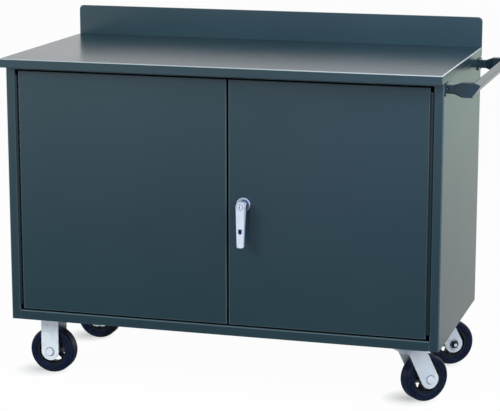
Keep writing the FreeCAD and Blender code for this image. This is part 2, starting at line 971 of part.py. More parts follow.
def handle_bracket(y):
    """Bracket: flange on the side panel, a neck that widens and a boxed head that carries the grip."""
    half = bracket_flange_length / 2
    rise = handle_drop - bracket_flange_gap
    flange = box(
        cabinet_right,
        cabinet_right + bracket_flange_sheet,
        y - half,
        y + half,
        handle_z - rise,
        handle_z + rise,
    )
    flange = rounded(flange, bracket_flange_radius, lambda edge: lies_along(edge, V(1, 0, 0)))
    start = cabinet_right + bracket_flange_sheet
    end = cabinet_right + handle_clearance
    waist = start + neck_waist_share * (end - start)
    neck = Part.makeLoft(
        [
            neck_section(start, neck_height, neck_thickness, y),
            neck_section(waist, neck_height, neck_thickness, y),
            neck_section(end, handle_height, bracket_length, y),
        ],
        True,
        True,
    )
    head = box(
        end,
        cabinet_right + grip_clearance,
        y - bracket_length / 2,
        y + bracket_length / 2,
        handle_z - handle_height / 2,
        handle_z + handle_height / 2,
    )
    head = rounded(head, head_edge_radius, lambda edge: lies_along(edge, V(1, 0, 0)))
    bracket = flange.fuse([neck, head]).removeSplitter()
    for place in handle_screw_places():
        inside = place - V(overrun, 0, 0)
        outside = place + V(bracket_flange_sheet + overrun, 0, 0)
        bracket = bracket.cut(rod(handle_screw_radius + nested_gap, inside, outside))
    return bracket


def handle_screw_places():
    """Screw centres on the outer face of the right side."""
    places = []
    for y in (handle_front_y, handle_rear_y):
        for across in (-1, 1):
            places.append(V(cabinet_right, y + across * handle_screw_spacing / 2, handle_z))
    return places


def handle_screws():
    """Domed screws through the bracket flanges, with their nuts inside the panel."""
    outward = V(1, 0, 0)
    screws = []
    for place in handle_screw_places():
        seat = place + outward * bracket_flange_sheet
        inside = place - outward * body_sheet
        head = rod(handle_screw_head_radius, seat, seat + outward * handle_screw_head)
        head = rounded(
            head, handle_screw_head / 2, lambda edge: on_plane(edge, outward, seat.x + handle_screw_head)
        )
        body = rod(handle_screw_radius, inside - outward * handle_nut, seat)
        nut = hexagon(handle_screw_head_radius, inside, outward * -1, handle_nut)
        screws.append(head.fuse([body, nut]).removeSplitter())
    return Part.makeCompound(screws)


def caster_bolts():
    """Low-headed bolts from the cabinet floor through the caster plates, with nuts below."""
    bolts = []
    for x, y in bolt_places():
        top = V(x, y, floor_top)
        under = V(x, y, plate_bottom)
        head = rod(bolt_head_radius, top, top + V(0, 0, bolt_head))
        head = rounded(head, bolt_head / 2, lambda edge: on_plane(edge, V(0, 0, 1), floor_top + bolt_head))
        body = rod(bolt_radius, under - V(0, 0, bolt_nut), top)
        nut = hexagon(bolt_nut_radius, under, V(0, 0, -1), bolt_nut)
        bolts.append(head.fuse([body, nut]).removeSplitter())
    return Part.makeCompound(bolts)


def caster_plate(x, y):
    """Caster top plate with rounded corners and four bolt holes."""
    half_x = plate_length / 2
    half_y = plate_width / 2
    plate = box(x - half_x, x + half_x, y - half_y, y + half_y, plate_bottom, caster_height)
    plate = rounded(plate, plate_corner_radius, lambda edge: lies_along(edge, V(0, 0, 1)))
    for along in (-1, 1):
        for across in (-1, 1):
            bolt = V(x + along * bolt_spacing_x / 2, y + across * bolt_spacing_y / 2, 0)
            foot = bolt + V(0, 0, plate_bottom - overrun)
            head = bolt + V(0, 0, caster_height + overrun)
            plate = plate.cut(rod(bolt_radius + nested_gap, foot, head))
    return plate


def fork(x, y, top, lead, tail, trail, lip):
    """Folded fork: a crown and two legs round the wheel, cut to the legs' outline.

    lip is how far the crown stands out ahead of the legs.
    """
    low = wheel_radius - leg_end_radius - overrun
    front = x - lead - lip - overrun
    reach = lip + lead + trail + leg_end_radius + tail + 2 * overrun
    path = [(y - leg_outer, low), (y - leg_outer, top), (y + leg_outer, top), (y + leg_outer, low)]
    place = lambda u, v: V(front, u, v)
    folded = bent_sheet(list(reversed(path)), leg_sheet, leg_bend, place, V(reach, 0, 0))
    side = y - leg_outer - overrun
    through = V(0, 2 * (leg_outer + overrun), 0)
    legs = tapered_arm(
        V(x - lead, top, 0),
        V(x + tail, top, 0),
        V(x + trail, wheel_radius, 0),
        leg_end_radius,
        lambda u, v: V(u, side, v),
        through,
    )
    if lip > 0:
        under = top - leg_sheet
        crown = [(x, top), (x - lead - lip, top), (x - lead - lip, under), (x, under - crown_lip_drop)]
        legs = legs.fuse(polygon([V(u, side, v) for u, v in crown], through))
    hole_start = V(x + trail, side, wheel_radius)
    hole = rod(axle_radius + nested_gap, hole_start, hole_start + through)
    return folded.common(legs).cut(hole).removeSplitter()


def rigid_fork(x, y):
    """Rigid caster frame: an upright fork welded to its top plate."""
    legs = fork(x, y, plate_bottom, leg_end_radius, leg_end_radius, 0, 0)
    return caster_plate(x, y).fuse(legs).removeSplitter()


def swivel_plate(x, y):
    """Swivel caster's top plate with the kingpin's hole."""
    foot = V(x, y, plate_bottom - overrun)
    hole = rod(kingpin_radius + nested_gap, foot, V(x, y, caster_height + overrun))
    return caster_plate(x, y).cut(hole)


def swivel_race(x, y):
    """Thrust race between the plate and the fork, grooved round its outside."""
    middle = race_height / 2
    half_groove = race_groove / 2
    section = [
        (race_inner_radius, 0),
        (race_outer_radius, 0),
        (race_outer_radius, middle - half_groove),
        (race_outer_radius - race_groove, middle),
        (race_outer_radius, middle + half_groove),
        (race_outer_radius, race_height),
        (race_inner_radius, race_height),
    ]
    return turned(section, V(x, y, plate_bottom - race_height), V(0, 0, 1))


def kingpin(x, y):
    """Kingpin through the plate and the crown, with its nut below."""
    under = crown_top - leg_sheet - seat_gap
    pin = rod(kingpin_radius, V(x, y, under), V(x, y, caster_height))
    nut = hexagon(kingpin_nut_radius, V(x, y, under), V(0, 0, -1), kingpin_nut)
    return pin.fuse(nut).removeSplitter()


def swivel_fork(x, y):
    """Swivel fork before it is yawed: legs raked back to the trailing axle, crown bored for the kingpin."""
    lead = swivel_lead_share * swivel_trail
    tail = swivel_tail_share * swivel_trail
    legs = fork(x, y, crown_top, lead, tail, swivel_trail, crown_lip)
    foot = V(x, y, crown_top - leg_sheet - overrun)
    return legs.cut(rod(kingpin_radius + running_gap, foot, V(x, y, crown_top + overrun)))


def axle(x, y, heading):
    """Axle bolt with a low round head on one side and a nut on the other."""
    along = V(0, heading, 0)
    centre = V(x, y, wheel_radius)
    head_seat = centre - along * leg_outer
    nut_seat = centre + along * leg_outer
    shaft = rod(axle_radius, head_seat, nut_seat + along * (axle_nut + axle_end))
    head = rod(axle_head_radius, head_seat - along * axle_head, head_seat)
    crown_y = (head_seat - along * axle_head).y
    head = rounded(head, axle_head_edge, lambda edge: on_plane(edge, V(0, 1, 0), crown_y))
    return shaft.fuse([head, hexagon(axle_nut_radius, nut_seat, along, axle_nut)]).removeSplitter()


def tyre(x, y):
    """Solid rubber tyre with rounded shoulders and a groove round each side wall."""
    half = tread_width / 2
    seat_half = tyre_seat_width / 2
    bore = tyre_bore_radius + nested_gap
    groove = wheel_radius - tyre_groove_inset
    section = [
        (bore, -seat_half),
        (bore + tyre_wall_draft, -half),
        (groove - tyre_groove, -half),
        (groove, tyre_groove - half),
        (groove + tyre_groove, -half),
        (wheel_radius, -half),
        (wheel_radius, half),
        (groove + tyre_groove, half),
        (groove, half - tyre_groove),
        (groove - tyre_groove, half),
        (bore + tyre_wall_draft, half),
        (bore, seat_half),
    ]
    ring = turned(section, V(0, 0, 0), V(0, 0, 1))
    tread = wheel_radius - tyre_shoulder
    ring = rounded(
        ring,
        tyre_shoulder,
        lambda edge: isinstance(edge.Curve, Part.Circle) and edge.Curve.Radius > tread,
    )
    ring.Placement = FreeCAD.Placement(V(x, y, wheel_radius), FreeCAD.Rotation(V(0, 0, 1), V(0, 1, 0)))
    return ring


def core_window(x, y, turn):
    """Opening between two spokes of a wheel core, turned about the axle."""
    near = hub_radius + core_window_margin
    far = tyre_bore_radius - rim_thickness - core_window_margin
    side = y - web_thickness / 2 - overrun

    def corner(radius, share):
        half = math.pi / core_spokes - math.asin(core_spoke_width / 2 / radius)
        angle = turn + share * half
        return V(x + radius * math.cos(angle), side, wheel_radius + radius * math.sin(angle))

    loop = [
        (corner(near, -1), corner(far, -1)),
        (corner(far, -1), corner(far, 0), corner(far, 1)),
        (corner(far, 1), corner(near, 1)),
        (corner(near, 1), corner(near, 0), corner(near, -1)),
    ]
    window = outline(loop, V(0, web_thickness + 2 * overrun, 0))
    return rounded(window, core_window_radius, lambda edge: lies_along(edge, V(0, 1, 0)))


def wheel_core(x, y):
    """Cast core: hub, spoked web and rim in one piece."""
    rim = tyre_bore_radius
    rim_half = tyre_seat_width / 2
    web_half = web_thickness / 2
    hub_half = hub_length / 2
    section = [
        (axle_radius + running_gap, -hub_half),
        (hub_radius, -hub_half),
        (hub_radius, -web_half),
        (rim - rim_thickness, -web_half),
        (rim - rim_thickness, -rim_half),
        (rim, -rim_half),
        (rim, rim_half),
        (rim - rim_thickness, rim_half),
        (rim - rim_thickness, web_half),
        (hub_radius, web_half),
        (hub_radius, hub_half),
        (axle_radius + running_gap, hub_half),
    ]
    core = turned(section, V(x, y, wheel_radius), V(0, 1, 0))
    for i in range(core_spokes):
        core = core.cut(core_window(x, y, 2 * math.pi * i / core_spokes))
    return core


def yawed(shape, x, y, angle):
    """Shape turned about a kingpin."""
    turned_shape = shape.copy()
    turned_shape.rotate(V(x, y, 0), V(0, 0, 1), angle)
    return turned_shape


def bench_pieces():
    """Worktop, cabinet shell, shelf and push handle."""
    return {
        "worktop": worktop(),
        "worktop_stiffeners": worktop_stiffeners(),
        "backsplash": backsplash(),
        "left_side": side_panel(),
        "right_side": right_side_panel(),
        "back_panel": back_panel(),
        "floor_panel": floor_panel(),
        "front_rail": front_rail(),
        "header_rail": header_rail(),
        "shelf": shelf(),
        "shelf_clips": shelf_clips(),
        "door_catch": door_catch(),
        "handle_bracket_front": handle_bracket(handle_front_y),
        "handle_bracket_rear": handle_bracket(handle_rear_y),
        "handle_grip": handle_grip(),
        "handle_screws": handle_screws(),
        "caster_bolts": caster_bolts(),
    }


def door_pieces():
    """Doors, hinges and the lock with its latch."""
    upper, lower = latch_rods()
    frame_leaf = hinge_frame_leaf()
    door_leaf = hinge_door_leaf()
    return {
        "hinge_pins": hinge_pins(),
        "left_hinge_frame_leaf": frame_leaf,
        "right_hinge_frame_leaf": mirrored(frame_leaf),
        "left_hinge_door_leaf": door_leaf,
        "right_hinge_door_leaf": mirrored(door_leaf),
        "left_door": door_pan(left_door_edge, left_free_edge),
        "left_door_stiffener": door_stiffener(left_door_edge, left_free_edge),
        "catch_strike": catch_strike(),
        "right_door": right_door_pan(),
        "right_door_stiffener": door_stiffener(right_free_edge, right_door_edge),
        "lock_rose": lock_rose(),
        "lock_shank": lock_shank(),
        "lock_lever": lock_lever(),
        "lock_plug": lock_plug(),
        "latch_cam": latch_cam(),
        "cam_screw": cam_screw(),
        "upper_rod": upper,
        "lower_rod": lower,
        "rod_guides": rod_guides(),
    }


def caster_pieces():
    """Rigid casters on the left and swivel casters, each at its resting yaw, on the right."""
    pieces = {}
    places = caster_places()
    for end, heading, (x, y) in zip(("front", "rear"), (1, -1), places[:2]):
        pieces["rigid_%s_fork" % end] = rigid_fork(x, y)
        pieces["rigid_%s_axle" % end] = axle(x, y, heading)
        pieces["rigid_%s_tyre" % end] = tyre(x, y)
        pieces["rigid_%s_core" % end] = wheel_core(x, y)
    yaws = (swivel_front_yaw, swivel_rear_yaw)
    for end, heading, yaw, (x, y) in zip(("front", "rear"), (1, -1), yaws, places[2:]):
        wheel_x = x + swivel_trail
        pieces["swivel_%s_plate" % end] = swivel_plate(x, y)
        pieces["swivel_%s_race" % end] = swivel_race(x, y)
        pieces["swivel_%s_kingpin" % end] = kingpin(x, y)
        pieces["swivel_%s_fork" % end] = yawed(swivel_fork(x, y), x, y, yaw)
        pieces["swivel_%s_axle" % end] = yawed(axle(wheel_x, y, heading), x, y, yaw)
        pieces["swivel_%s_tyre" % end] = yawed(tyre(wheel_x, y), x, y, yaw)
        pieces["swivel_%s_core" % end] = yawed(wheel_core(wheel_x, y), x, y, yaw)
    return pieces


def main():
    """Write every piece to its own file."""
    os.makedirs("parts", exist_ok=True)
    for pieces in (bench_pieces(), door_pieces(), caster_pieces()):
        for node, shape in pieces.items():
            shape.exportStep("parts/%s.step" % node)


main()
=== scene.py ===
"""Finishes, studio and camera for the mobile workbench, in metres and in the frame of its solids."""
import json
import math

import bpy
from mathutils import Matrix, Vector


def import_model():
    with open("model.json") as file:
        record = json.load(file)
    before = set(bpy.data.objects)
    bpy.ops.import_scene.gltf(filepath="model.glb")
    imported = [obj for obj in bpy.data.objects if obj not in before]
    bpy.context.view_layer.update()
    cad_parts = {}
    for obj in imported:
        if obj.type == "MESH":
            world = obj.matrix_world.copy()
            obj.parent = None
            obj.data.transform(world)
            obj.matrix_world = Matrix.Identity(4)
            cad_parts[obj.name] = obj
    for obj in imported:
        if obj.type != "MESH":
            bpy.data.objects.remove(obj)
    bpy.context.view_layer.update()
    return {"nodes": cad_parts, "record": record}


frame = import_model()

MM = 0.001

# Camera
image_width_px = 500
focal_px = 1883.7
sensor_width_mm = 36.0
camera_place = (1.4244, -4.9937, 1.5868)
camera_yaw = 0.2837
camera_pitch = 0.2095

# Finish colours
charcoal = "1e343d"
charcoal_faded = "273d46"
# backsplash painted paler than the other enamel: painted light
splash_lit_deep = "233a44"
splash_lit_pale = "304852"
handle_dark = "142732"
handle_faded = "1b323d"
# hinges painted darker than the doors: painted shade of their recessed gap
hinge_shaded_dark = "101f27"
hinge_shaded_pale = "172830"
# pale colour on edges and folds: paint worn thin, and painted highlight along them
edge_wear_and_highlight = "9aaab0"
# painted highlight along the worktop's rolled edges
worktop_edge_highlight = "d5dee1"
zinc_bright = "f7fafd"
zinc_dull = "dbe3f0"
# dark ring on the forks round the axle's bolt head: painted shade
axle_ring_shade = "66717f"
chrome_blue = "dde3f3"
# lever painted almost white: painted reflection of a chrome lever
lever_reflection_white = "f0f4fc"
lever_reflection_hazy = "d2dbee"
# painted shade in the lever's slots and round its plug
recess_painted_shade = "1c2668"
rubber_black = "080e1f"
rubber_bloom = "182948"
core_black = "0b0f16"
core_dusty = "1a212b"
nylon_black = "1a1b1d"
nylon_worn = "2a2b2d"

# Studio colours
studio_white = "ffffff"
side_card = "def2e3"
sky_blue = "d2e2ff"
floor_grey = (0.9, 0.9, 0.9, 1.0)

# Pattern sizes in millimetres
paint_cloud_mm = 420.0
paint_peel_mm = 6.0  # real orange peel is finer, and drawn coarser to be seen at the picture's size
paint_edge_mm = 2.5
paint_chip_mm = 35.0
scuff_mm = 14.0
zinc_bloom_mm = 16.0
zinc_grain_mm = 1.2
chrome_haze_mm = 18.0
rubber_scuff_mm = 9.0
rubber_ring_mm = 5.0
cast_grain_mm = 2.5
nylon_grain_mm = 1.0

# Octaves of the cloudy patterns, from soft to crisp
soft, plain, fine, crisp = 2.0, 3.0, 4.0, 5.0

# A pattern's lowest and highest value, and the roughness or share that each becomes
enamel_gloss = (0.0, 1.0, 0.2, 0.28)
edge_bend = (0.99, 0.75, 0.0, 1.0)
chip_share = (0.4, 0.7, 0.1, 0.45)
scuff_gloss = (0.5, 0.75, 0.0, 0.02)
zinc_gloss = (0.0, 1.0, 0.26, 0.46)
zinc_metal = (0.3, 0.7, 0.05, 0.2)
chrome_gloss = (0.0, 1.0, 0.06, 0.14)
lever_gloss = (0.0, 1.0, 0.16, 0.3)
rubber_gloss = (0.0, 1.0, 0.3, 0.5)
bloom_share = (0.35, 0.75, 0.0, 0.8)
ring_sheen_share = (0.2, 1.0, 0.0, 0.25)
casting_gloss = (0.0, 1.0, 0.4, 0.6)
nylon_gloss = (0.0, 1.0, 0.45, 0.6)
shade_black_gloss = (0.0, 1.0, 0.5, 0.65)

# Bumps: strength, and depth in metres
enamel_peel = {"Strength": 0.006, "Distance": 1.0 * MM}
zinc_dents = {"Strength": 0.05, "Distance": 0.2 * MM}
rubber_ridges = {"Strength": 0.12, "Distance": 0.4 * MM}
grain_dents = {"Strength": 0.15, "Distance": 0.5 * MM}

# Values that are the same all over a finish
enamel_ior = 1.5
lever_metallic = 0.25
rubber_specular = 0.3

# Rounded folds: how squarely a flat face meets an axis, and how much pale colour is laid on the folds:
# painted highlight on the worktop, worn paint and painted highlight elsewhere
flat_facing = 0.985
edge_highlight_share = 0.55
fold_wear_and_highlight_share = 0.16

# Scuffs on the worktop run with its length
scuff_stretch = (0.12, 1.0, 1.0)

# Lever slot, key plug and key slot, where shade is painted, from the lock's axis where it meets the door, in
# metres
slot_rise = (-0.0755, -0.0605)
slot_depth = (-0.0362, -0.0305)
slot_reach = (-0.0052, 0.0052)
plug_seam = (0.0076, 0.0089)
key_rise = (-0.00455, 0.00455)
key_reach = (-0.00105, 0.00105)

# Painted shade on a fork round the axle's bolt head, and the zinc-coloured end of a thread painted black for
# shade, in metres from the axle
shade_ring_span = (0.0105, 0.0135)
shade_ring_share = 0.7
zinc_end = 0.005

# Room in reflections: parts of a direction, low and high, and the brightness at each; and its soft light
sky_depth = (-0.9, 0.1, 0.45, 1.0)
sky_right = (-0.36, -0.15, 0.0, 1.0)
sky_fill = 0.2

# Floor: places in metres, low and high, and the brightness or share at each
floor_half_width = 30.0
shadow_lead = 0.04
shadow_fade = (0.005, 0.08, 0.3, 0.97)
front_gloss = (-1.0, -5.3, 0.14, 0.85)
front_gloss_left = 1.7
front_gloss_sides = (0.2, 1.2, 0.9, 1.3)
back_gloss = (1.0, 5.0, 0.62, 0.96)
back_start = (0.0, 0.5, 0.0, 1.0)
card_share = (0.6, 1.4, 0.0, 1.0)
cool_share = (-2.2, -0.4, 0.0, 1.0)

# Lamps: name, place, aim, side, power, colour, shown in reflections
lamps = (
    ("right_softbox", (2.8, -1.4, 1.9), (0.3, 0, 0.5), 1.8, 44.0, (0.76, 0.91, 1.0), False),
    ("corner_softbox", (1.0, -0.6, 1.55), (0.45, 0.1, 0.9), 0.6, 10.0, (1.0, 0.97, 1.0), False),
    ("left_softbox", (-1.9, -2.4, 1.85), (-0.5, 0, 0.7), 1.2, 72.0, (0.92, 0.98, 1.0), False),
    ("overhead_softbox", (0.3, -0.8, 3.4), (0, 0, 0.5), 2.4, 4.0, (1.0, 1.0, 1.0), True),
)


def linear(code):
    """Linear colour from an sRGB hex code."""
    channels = [int(code[i : i + 2], 16) / 255 for i in (0, 2, 4)]
    return tuple(c / 12.92 if c <= 0.04045 else ((c + 0.055) / 1.055) ** 2.4 for c in channels) + (1.0,)


def add(tree, kind, inputs=(), output=0, **settings):
    """Adds a shader node with its settings, sets or links its inputs by place or name, and gives an output.

    A mix of colours has its share in place 0 and the two colours in places 6 and 7, and gives output 2.
    """
    node = tree.nodes.new("ShaderNode" + kind)
    for name, value in settings.items():
        setattr(node, name, value)
    named = inputs if isinstance(inputs, dict) else dict(enumerate(inputs))
    for name, value in named.items():
        if isinstance(value, bpy.types.NodeSocket):
            tree.links.new(node.inputs[name], value)
        else:
            node.inputs[name].default_value = value
    return node.outputs[output]


def new_material(name):
    """Material, with its node tree, its shader's inputs and the place on the piece."""
    material = bpy.data.materials.new(name)
    material.use_nodes = True
    tree = material.node_tree
    return material, tree, tree.nodes["Principled BSDF"].inputs, add(tree, "TexCoord", output="Object")


def between(tree, value, low, high):
    """1 where a value lies between two limits, else 0."""
    above = add(tree, "Math", (value, low), operation="GREATER_THAN")
    below = add(tree, "Math", (value, high), operation="LESS_THAN")
    return add(tree, "Math", (above, below), operation="MULTIPLY")


def rounded_edges(tree, size_mm):
    """A normal that rounds the edges of a piece, and 1 along those edges but 0 on its faces."""
    rounded = add(tree, "Bevel", {"Radius": size_mm * MM})
    flat = add(tree, "NewGeometry", output="True Normal")
    same = add(tree, "VectorMath", (rounded, flat), "Value", operation="DOT_PRODUCT")
    return rounded, add(tree, "MapRange", (same, *edge_bend))


def rolled_folds(tree):
    """1 on the rounded folds of a sheet and 0 on its flat faces, which lie along the bench's axes."""
    facing = add(tree, "NewGeometry", output="True Normal")
    turned = add(tree, "VectorTransform", (facing,), vector_type="NORMAL", convert_to="OBJECT")
    sizes = add(tree, "VectorMath", (turned,), operation="ABSOLUTE")
    along = add(tree, "SeparateXYZ", (sizes,)).node.outputs
    level = add(tree, "Math", (along["X"], along["Y"]), operation="MAXIMUM")
    largest = add(tree, "Math", (level, along["Z"]), operation="MAXIMUM")
    return add(tree, "Math", (largest, flat_facing), operation="LESS_THAN")


def from_axle(tree, place, spin):
    """Distance from the line of a wheel's axle, in metres."""
    arm = add(tree, "VectorMath", (place, spin["pos_m"]), operation="SUBTRACT")
    across = add(tree, "VectorMath", (arm, spin["axis"]), operation="CROSS_PRODUCT")
    return add(tree, "VectorMath", (across,), "Value", operation="LENGTH")


def baked_enamel(name, deep, faded, edge_mm, highlit_and_scuffed=False):
    """Baked enamel on folded steel: a soft sheen with slow clouding, faint peel, and pale edges of worn paint
    and painted highlight.

    A worktop has a pale painted highlight along its rolled edges, and is scuffed by the tools slid on it.
    """
    material, tree, shader, place = new_material(name)
    cloud = add(tree, "TexNoise", {"Vector": place, "Scale": 1 / (paint_cloud_mm * MM), "Detail": plain})
    colour = add(tree, "Mix", {0: cloud, 6: linear(deep), 7: linear(faded)}, 2, data_type="RGBA")
    peel = add(tree, "TexNoise", {"Vector": place, "Scale": 1 / (paint_peel_mm * MM), "Detail": soft})
    bump = {"Height": peel, **enamel_peel}
    if edge_mm:
        bump["Normal"], edge = rounded_edges(tree, edge_mm)
        # pale edges: worn paint, partly a painted highlight
        flakes = add(tree, "TexNoise", {"Vector": place, "Scale": 1 / (paint_chip_mm * MM), "Detail": plain})
        chips = add(tree, "MapRange", (flakes, *chip_share))
        worn_and_highlit = add(tree, "Math", (edge, chips), operation="MULTIPLY")
        colour = add(tree, "Mix", {0: worn_and_highlit, 6: colour, 7: linear(edge_wear_and_highlight)}, 2, data_type="RGBA")
        # pale rims on the folds: painted highlight on the worktop, worn paint and painted highlight on other
        # pieces
        share, pale_rim = (edge_highlight_share, worktop_edge_highlight) if highlit_and_scuffed else (fold_wear_and_highlight_share, edge_wear_and_highlight)
        rim = add(tree, "Math", (rolled_folds(tree), share), operation="MULTIPLY")
        colour = add(tree, "Mix", {0: rim, 6: colour, 7: linear(pale_rim)}, 2, data_type="RGBA")
    gloss = add(tree, "MapRange", (cloud, *enamel_gloss))
    if highlit_and_scuffed:
        streak = add(tree, "Mapping", {"Vector": place, "Scale": scuff_stretch})
        marks = add(tree, "TexNoise", {"Vector": streak, "Scale": 1 / (scuff_mm * MM), "Detail": crisp})
        scuffs = add(tree, "MapRange", (marks, *scuff_gloss))
        gloss = add(tree, "Math", (gloss, scuffs), operation="ADD")
    tree.links.new(shader["Base Color"], colour)
    tree.links.new(shader["Roughness"], gloss)
    tree.links.new(shader["Normal"], add(tree, "Bump", bump))
    shader["IOR"].default_value = enamel_ior
    return material


def bright_zinc(name, spin=None):
    """Zinc plate on pressed steel: pale bluish metal, with whitish bloom that is duller than the plate.

    A fork has a ring of painted shade round the axle's bolt head.
    """
    material, tree, shader, place = new_material(name)
    bloom = add(tree, "TexNoise", {"Vector": place, "Scale": 1 / (zinc_bloom_mm * MM), "Detail": fine})
    colour = add(tree, "Mix", {0: bloom, 6: linear(zinc_bright), 7: linear(zinc_dull)}, 2, data_type="RGBA")
    if spin:
        # painted shade round the bolt head
        ring = between(tree, from_axle(tree, place, spin), *shade_ring_span)
        ring_shade = add(tree, "Math", (ring, shade_ring_share), operation="MULTIPLY")
        colour = add(tree, "Mix", {0: ring_shade, 6: colour, 7: linear(axle_ring_shade)}, 2, data_type="RGBA")
    grain = add(tree, "TexNoise", {"Vector": place, "Scale": 1 / (zinc_grain_mm * MM), "Detail": soft})
    tree.links.new(shader["Base Color"], colour)
    tree.links.new(shader["Roughness"], add(tree, "MapRange", (bloom, *zinc_gloss)))
    tree.links.new(shader["Metallic"], add(tree, "MapRange", (bloom, *zinc_metal)))
    tree.links.new(shader["Normal"], add(tree, "Bump", {"Height": grain, **zinc_dents}))
    return material


def polished_chrome():
    """Chrome on the rose and post: a clear mirror, blue where it shows the dark room."""
    material, tree, shader, place = new_material("polished_chrome")
    haze = add(tree, "TexNoise", {"Vector": place, "Scale": 1 / (chrome_haze_mm * MM), "Detail": plain})
    tree.links.new(shader["Roughness"], add(tree, "MapRange", (haze, *chrome_gloss)))
    shader["Base Color"].default_value = linear(chrome_blue)
    shader["Metallic"].default_value = 1.0
    return material


def lever_painted_reflection(lock):
    """Lever: almost white as a painted reflection, hazy where held, with painted shade in its slots and round
    the plug.
    """
    material, tree, shader, place = new_material("lever_painted_reflection")
    haze = add(tree, "TexNoise", {"Vector": place, "Scale": 1 / (chrome_haze_mm * MM), "Detail": plain})
    plate = {0: haze, 6: linear(lever_reflection_white), 7: linear(lever_reflection_hazy)}
    colour = add(tree, "Mix", plate, 2, data_type="RGBA")
    arm = add(tree, "VectorMath", (place, lock), operation="SUBTRACT")
    along = add(tree, "SeparateXYZ", (arm,)).node.outputs
    slot = between(tree, along["Z"], *slot_rise)
    for limit in (between(tree, along["Y"], *slot_depth), between(tree, along["X"], *slot_reach)):
        slot = add(tree, "Math", (slot, limit), operation="MULTIPLY")
    key_limits = (between(tree, along["Z"], *key_rise), between(tree, along["X"], *key_reach))
    key = add(tree, "Math", key_limits, operation="MULTIPLY")
    flat = add(tree, "CombineXYZ", {"X": along["X"], "Z": along["Z"]})
    seam = between(tree, add(tree, "VectorMath", (flat,), "Value", operation="LENGTH"), *plug_seam)
    # painted shade in the slots and round the plug
    dark = add(tree, "Math", (add(tree, "Math", (slot, key), operation="MAXIMUM"), seam), operation="MAXIMUM")
    colour = add(tree, "Mix", {0: dark, 6: colour, 7: linear(recess_painted_shade)}, 2, data_type="RGBA")
    tree.links.new(shader["Base Color"], colour)
    tree.links.new(shader["Roughness"], add(tree, "MapRange", (haze, *lever_gloss)))
    shader["Metallic"].default_value = lever_metallic
    return material


def moulded_rubber(name, spin):
    """Solid tyre rubber: blue-black with a dull bloom and fine mould rings round the axle, paler rings of
    painted sheen.
    """
    material, tree, shader, place = new_material(name)
    ring_turn = (from_axle(tree, place, spin), 2 * math.pi / (rubber_ring_mm * MM))
    rings = add(tree, "Math", (add(tree, "Math", ring_turn, operation="MULTIPLY"),), operation="SINE")
    bloom = add(tree, "TexNoise", {"Vector": place, "Scale": 1 / (rubber_scuff_mm * MM), "Detail": fine})
    dull = add(tree, "MapRange", (bloom, *bloom_share))
    # the rings' paler colour is painted sheen; their bumps are the mould rings
    shade = add(tree, "Math", (dull, add(tree, "MapRange", (rings, *ring_sheen_share))), operation="ADD")
    rubber = {0: shade, 6: linear(rubber_black), 7: linear(rubber_bloom)}
    colour = add(tree, "Mix", rubber, 2, data_type="RGBA")
    tree.links.new(shader["Base Color"], colour)
    tree.links.new(shader["Roughness"], add(tree, "MapRange", (bloom, *rubber_gloss)))
    tree.links.new(shader["Normal"], add(tree, "Bump", {"Height": rings, **rubber_ridges}))
    shader["Specular IOR Level"].default_value = rubber_specular
    return material


def grained(name, dark, pale, size_mm, gloss, spin=None):
    """Dark casting or moulding, or black standing in as painted shade on a zinc part: a fine grain that
    catches the light, with dust in its hollows.

    An axle painted black for shade keeps a zinc colour at its end.
    """
    material, tree, shader, place = new_material(name)
    grain = add(tree, "TexNoise", {"Vector": place, "Scale": 1 / (size_mm * MM), "Detail": fine})
    colour = add(tree, "Mix", {0: grain, 6: linear(dark), 7: linear(pale)}, 2, data_type="RGBA")
    if spin:
        end = add(tree, "Math", (from_axle(tree, place, spin), zinc_end), operation="LESS_THAN")
        colour = add(tree, "Mix", {0: end, 6: colour, 7: linear(zinc_dull)}, 2, data_type="RGBA")
    tree.links.new(shader["Base Color"], colour)
    tree.links.new(shader["Roughness"], add(tree, "MapRange", (grain, *gloss)))
    tree.links.new(shader["Normal"], add(tree, "Bump", {"Height": grain, **grain_dents}))
    return material


def world():
    """White to the camera; reflections see white behind the bench, dim before it and bluish at its right."""
    sky = bpy.data.worlds.new("studio")
    bpy.context.scene.world = sky
    sky.use_nodes = True
    tree = sky.node_tree
    tree.nodes.clear()
    ray = add(tree, "LightPath").node.outputs
    along = add(tree, "SeparateXYZ", (add(tree, "TexCoord", output="Generated"),)).node.outputs
    depth = add(tree, "MapRange", (along["Y"], *sky_depth))
    right = add(tree, "MapRange", (along["X"], *sky_right))
    bright = add(tree, "Math", (depth, right), operation="MAXIMUM")
    glossy = add(tree, "Math", (ray["Is Glossy Ray"], bright), operation="MULTIPLY")
    ahead = add(tree, "Math", (along["Y"], 0.0), operation="LESS_THAN")
    front = add(tree, "Math", (glossy, ahead), operation="MULTIPLY")
    cool = add(tree, "Math", (front, right), operation="MULTIPLY")
    colour = add(tree, "Mix", {0: cool, 6: linear(studio_white), 7: linear(sky_blue)}, 2, data_type="RGBA")
    seen = add(tree, "Math", (ray["Is Camera Ray"], ray["Is Transmission Ray"]), operation="MAXIMUM")
    fill = add(tree, "Math", (ray["Is Diffuse Ray"], sky_fill), operation="MULTIPLY")
    shown = add(tree, "Math", (seen, glossy), operation="MAXIMUM")
    strength = add(tree, "Math", (shown, fill), operation="MAXIMUM")
    backdrop = add(tree, "Background", {"Color": colour, "Strength": strength})
    tree.links.new(tree.nodes.new("ShaderNodeOutputWorld").inputs["Surface"], backdrop)


